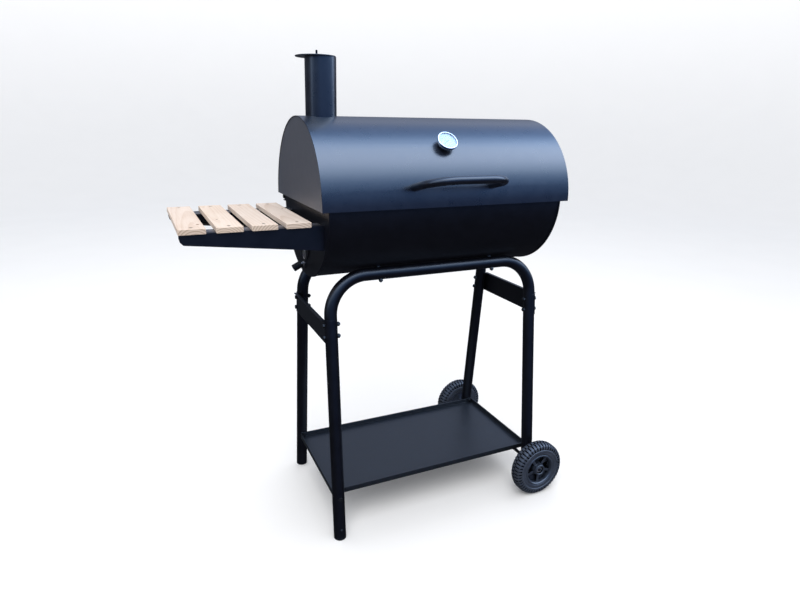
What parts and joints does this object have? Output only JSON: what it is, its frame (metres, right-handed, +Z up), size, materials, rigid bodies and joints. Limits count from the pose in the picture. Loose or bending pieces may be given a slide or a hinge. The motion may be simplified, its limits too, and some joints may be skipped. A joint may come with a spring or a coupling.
{
  "type": "barrel charcoal grill",
  "caption": "Free-standing barrel charcoal grill with a hinged lid, chimney, thermometer, side shelf, bottom tray and wheels on a tube stand.",
  "frame": {"origin": "centre of the whole grill's footprint, on the ground", "axes": "+X along the barrel from the side shelf to the wheels, +Y from the front (handle side) to the rear hinges, +Z up; the grill is tallest along Z and shallowest along Y"},
  "size_m": [1.0162, 0.5512, 1.222],
  "materials": {
    "frame_paint": "satin black powder coat",
    "box_paint": "satin black heat paint",
    "lid_paint": "smooth semi-gloss black heat paint",
    "handle_paint": "semi-gloss black",
    "tray_paint": "matt black powder coat",
    "black_bolts": "black oxide",
    "zinc": "bright zinc plate",
    "foot_plastic": "matt moulded",
    "grip_plastic": "matt moulded",
    "hub_plastic": "moulded, slightly shiny",
    "tyre_rubber": "matt moulded tread",
    "pine": "planed, unvarnished",
    "slat_screw_steel": "dull zinc",
    "gauge_chrome": "polished",
    "gauge_face": "printed matt white",
    "gauge_glass": "clear",
    "needle_paint": "matt black",
    "grate_wire": "plated wire",
    "coal_grate_wire": "blackened wire"
  },
  "bodies": {
    "stand": {"front_hoop_tube": "frame_paint", "rear_hoop_tube": "frame_paint", "foot_caps": "foot_plastic", "foot_cap_screws": "black_bolts", "leg_plugs": "foot_plastic", "left_brace_plate": "frame_paint", "right_brace_plate": "frame_paint", "leg_bolts": "black_bolts", "m6_nuts": "black_bolts", "bottom_tray": "tray_paint", "axle_rod": "black_bolts", "axle_washers": "zinc", "axle_lock_nuts": "zinc", "saddle_spacers": "frame_paint", "saddle_bolts": "black_bolts", "firebox_shell": "box_paint", "firebox_left_end": "box_paint", "firebox_right_end": "box_paint", "body_hinge_leaves": "box_paint", "body_leaf_rivets": "black_bolts", "hinge_pivot_bolts": "black_bolts", "grate_ledges": "box_paint", "shelf_front_plate": "box_paint", "shelf_rear_plate": "box_paint", "shelf_bolts": "black_bolts", "shelf_slat_a": "pine", "shelf_slat_b": "pine", "shelf_slat_c": "pine", "shelf_slat_d": "pine", "slat_screws": "slat_screw_steel", "vent_pivot_bolt": "zinc"},
    "lid": {"lid_shell": "lid_paint", "lid_left_end": "lid_paint", "lid_right_end": "lid_paint", "lid_hinge_leaves": "lid_paint", "lid_leaf_rivets": "black_bolts", "lid_handle": "handle_paint", "handle_screws": "zinc", "chimney_pipe": "lid_paint", "chimney_collar": "lid_paint", "cap_bracket": "lid_paint", "cap_pivot_bolt": "black_bolts", "cap_pivot_nut": "black_bolts", "gauge_case": "gauge_chrome", "gauge_dial": "gauge_face", "gauge_glass": "gauge_glass", "gauge_stem": "zinc", "gauge_nut": "zinc"},
    "chimney_cap": {"chimney_cap": "lid_paint"},
    "gauge_needle": {"gauge_needle": "needle_paint"},
    "vent_shutter": {"vent_shutter": "box_paint", "vent_lever": "zinc", "vent_grip": "grip_plastic"},
    "front_wheel": {"front_wheel_hub": "hub_plastic", "front_tyre": "tyre_rubber"},
    "rear_wheel": {"rear_wheel_hub": "hub_plastic", "rear_tyre": "tyre_rubber"},
    "left_cooking_grate": {"cooking_grate_left": "grate_wire"},
    "right_cooking_grate": {"cooking_grate_right": "grate_wire"},
    "charcoal_grate": {"charcoal_grate": "coal_grate_wire"}
  },
  "joints": [
    {"name": "lid_hinge", "type": "hinge", "parent": "stand", "child": "lid", "pos_m": [0.13057, 0.24595, 0.846], "axis": [-1, 0, 0], "range_deg": [0, 90]},
    {"name": "cap_swivel", "type": "hinge", "parent": "lid", "child": "chimney_cap", "pos_m": [-0.14483, 0.06395, 1.2041], "axis": [0, 0, 1], "range_deg": [-135, 23]},
    {"name": "needle_sweep", "type": "hinge", "parent": "lid", "child": "gauge_needle", "pos_m": [0.12108, -0.12644, 1.01253], "axis": [0, 0.7337, -0.6794], "range_deg": [0, 270]},
    {"name": "vent_turn", "type": "hinge", "parent": "stand", "child": "vent_shutter", "pos_m": [-0.19282, 0.04195, 0.75], "axis": [1, 0, 0], "range_deg": [-20, 25]},
    {"name": "front_wheel_spin", "type": "hinge", "parent": "stand", "child": "front_wheel", "pos_m": [0.42857, -0.18805, 0.0795], "axis": [0, 1, 0], "continuous": true},
    {"name": "rear_wheel_spin", "type": "hinge", "parent": "stand", "child": "rear_wheel", "pos_m": [0.42857, 0.25595, 0.0795], "axis": [0, 1, 0], "continuous": true},
    {"name": "left_grate_lift", "type": "slide", "parent": "stand", "child": "left_cooking_grate", "axis": [0, 0, 1], "range_m": [0, 0.07]},
    {"name": "right_grate_lift", "type": "slide", "parent": "stand", "child": "right_cooking_grate", "axis": [0, 0, 1], "range_m": [0, 0.07]},
    {"name": "charcoal_grate_lift", "type": "slide", "parent": "stand", "child": "charcoal_grate", "axis": [0, 0, 1], "range_m": [0, 0.09]}
  ]
}
